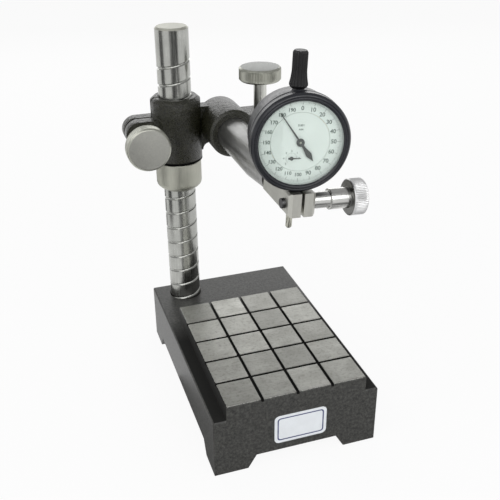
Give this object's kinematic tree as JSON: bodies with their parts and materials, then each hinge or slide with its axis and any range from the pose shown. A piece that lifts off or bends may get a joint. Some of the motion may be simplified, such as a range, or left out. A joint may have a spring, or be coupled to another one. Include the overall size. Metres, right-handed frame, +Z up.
{
  "type": "comparator stand",
  "caption": "Bench comparator stand: grooved cast base, grooved column with lifting nut, split clamp bracket, level arm and a dial gauge in a split holder.",
  "frame": {"origin": "on the floor at the middle of the stand's box", "axes": "+Z up along the column, +X to the right seen from the dial side, +Y to the back"},
  "size_m": [0.1365, 0.187, 0.2707],
  "materials": {
    "casting_paint": "dark semi-gloss enamel, ground on the platen",
    "bracket_paint": "black semi-gloss enamel on a cast surface",
    "ground_steel": "ground and polished",
    "satin_steel": "satin turned, knurled rims",
    "brushed_steel": "coarsely brushed",
    "bright_steel": "bright plated, knurled rim",
    "black_steel": "blackened",
    "gauge_case": "satin grey",
    "bezel_black": "semi-gloss black",
    "cap_black": "satin black",
    "dial_face": "matt pale green-white print",
    "hand_black": "matt black",
    "window": "clear",
    "movement_brass": "machined"
  },
  "bodies": {
    "stand": {"base_casting": "casting_paint", "column": "ground_steel", "column_bolt": "black_steel"},
    "lift": {"thrust_washer": "black_steel"},
    "nut": {"lifting_nut": "satin_steel"},
    "bracket": {"bracket": "bracket_paint"},
    "column_clamp": {"column_clamp_knob": "satin_steel", "column_clamp_screw": "ground_steel"},
    "arm_clamp": {"arm_clamp_knob": "satin_steel", "arm_clamp_screw": "ground_steel"},
    "arm": {"arm": "ground_steel", "gauge_holder": "brushed_steel"},
    "stem_clamp": {"stem_clamp_knob": "bright_steel", "stem_clamp_screw": "ground_steel"},
    "gauge": {"gauge_case": "gauge_case", "back_cover": "gauge_case", "cover_screws": "ground_steel", "gauge_stem": "ground_steel", "upper_bush": "ground_steel", "movement_frame": "movement_brass", "dial_plate": "dial_face"},
    "bezel": {"bezel": "bezel_black", "crystal": "window", "dial_ring": "dial_face"},
    "long_hand": {"long_hand": "hand_black", "centre_arbor": "ground_steel"},
    "second_wheel": {"second_arbor": "movement_brass"},
    "rack_wheel": {"rack_arbor": "movement_brass"},
    "short_hand": {"counter_arbor": "movement_brass", "short_hand": "hand_black"},
    "spindle": {"spindle": "ground_steel", "contact_point": "ground_steel", "lifting_cap": "cap_black"}
  },
  "joints": [
    {"name": "lift_slide", "type": "slide", "parent": "stand", "child": "lift", "axis": [0, 0, 1], "range_m": [-0.09, 0.045]},
    {"name": "nut_turn", "type": "hinge", "parent": "lift", "child": "nut", "pos_m": [-0.02375, 0.07525, 0.1616], "axis": [0, 0, 1], "range_deg": [-2610, 1315]},
    {"name": "bracket_swing", "type": "hinge", "parent": "lift", "child": "bracket", "pos_m": [-0.02375, 0.07525, 0.1616], "axis": [0, 0, 1], "continuous": true},
    {"name": "column_clamp_turn", "type": "hinge", "parent": "bracket", "child": "column_clamp", "pos_m": [-0.05275, 0.07525, 0.185], "axis": [0, -1, 0], "range_deg": [0, 360]},
    {"name": "arm_clamp_turn", "type": "hinge", "parent": "bracket", "child": "arm_clamp", "pos_m": [0.03785, 0.06375, 0.1868], "axis": [0, 0, 1], "range_deg": [0, 360]},
    {"name": "arm_slide", "type": "slide", "parent": "bracket", "child": "arm", "axis": [0, -1, 0], "range_m": [-0.06, 0.016]},
    {"name": "stem_clamp_turn", "type": "hinge", "parent": "arm", "child": "stem_clamp", "pos_m": [0.0102, -0.08255, 0.1858], "axis": [0.9986, 0, -0.0523], "range_deg": [0, 360]},
    {"name": "gauge_turn", "type": "hinge", "parent": "arm", "child": "gauge", "pos_m": [0.01213, -0.07195, 0.22275], "axis": [0.0523, 0, 0.9986], "continuous": true},
    {"name": "bezel_turn", "type": "hinge", "parent": "gauge", "child": "bezel", "pos_m": [0.01213, -0.07195, 0.22275], "axis": [0.1476, 0.989, -0.0077], "continuous": true},
    {"name": "long_hand_turn", "type": "hinge", "parent": "gauge", "child": "long_hand", "pos_m": [0.01213, -0.07195, 0.22275], "axis": [0.1476, 0.989, -0.0077], "range_deg": [-2, 1802]},
    {"name": "second_wheel_turn", "type": "hinge", "parent": "gauge", "child": "second_wheel", "pos_m": [0.00644, -0.07103, 0.23118], "axis": [0.1476, 0.989, -0.0077], "range_deg": [-250, 1]},
    {"name": "rack_wheel_turn", "type": "hinge", "parent": "gauge", "child": "rack_wheel", "pos_m": [0.01606, -0.0725, 0.22782], "axis": [0.1476, 0.989, -0.0077], "range_deg": [-0.5, 36.5]},
    {"name": "short_hand_turn", "type": "hinge", "parent": "gauge", "child": "short_hand", "pos_m": [0.0073, -0.0713, 0.21359], "axis": [0.1476, 0.989, -0.0077], "range_deg": [-230, 1]},
    {"name": "spindle_slide", "type": "slide", "parent": "gauge", "child": "spindle", "axis": [0.0523, 0, 0.9986], "range_m": [0, 0.001], "stiffness_N_per_m": 100, "springref_m": -0.012}
  ],
  "couplings": [
    {"joint": "nut_turn", "follows": "lift_slide", "rad_per_m": 502.65},
    {"joint": "long_hand_turn", "follows": "spindle_slide", "rad_per_m": 31416},
    {"joint": "second_wheel_turn", "follows": "spindle_slide", "rad_per_m": -4278.8},
    {"joint": "rack_wheel_turn", "follows": "spindle_slide", "rad_per_m": 625},
    {"joint": "short_hand_turn", "follows": "spindle_slide", "rad_per_m": -3927}
  ]
}
